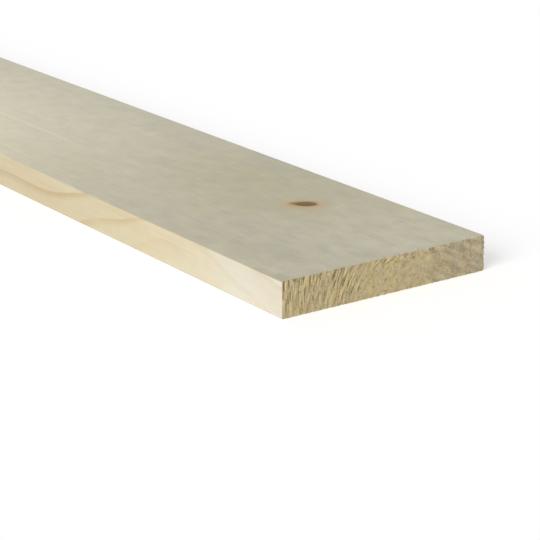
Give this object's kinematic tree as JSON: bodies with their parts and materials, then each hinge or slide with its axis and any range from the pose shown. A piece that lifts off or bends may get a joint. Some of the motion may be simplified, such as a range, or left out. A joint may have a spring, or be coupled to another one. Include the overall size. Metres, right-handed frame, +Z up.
{
  "type": "timber plank",
  "caption": "Straight planed softwood plank with eased long arrises and square-sawn ends, lying flat; stock for shelving, cladding, boxes and general joinery.",
  "frame": {"origin": "centre of the underside, on the surface that the plank lies on", "axes": "+X along the length towards the end that the picture shows, +Y across the width away from the picture's viewer, +Z up through the thickness"},
  "size_m": [1.8, 0.145, 0.022],
  "materials": {
    "planed_softwood": "matte"
  },
  "bodies": {
    "root": {"plank": "planed_softwood"}
  },
  "joints": []
}
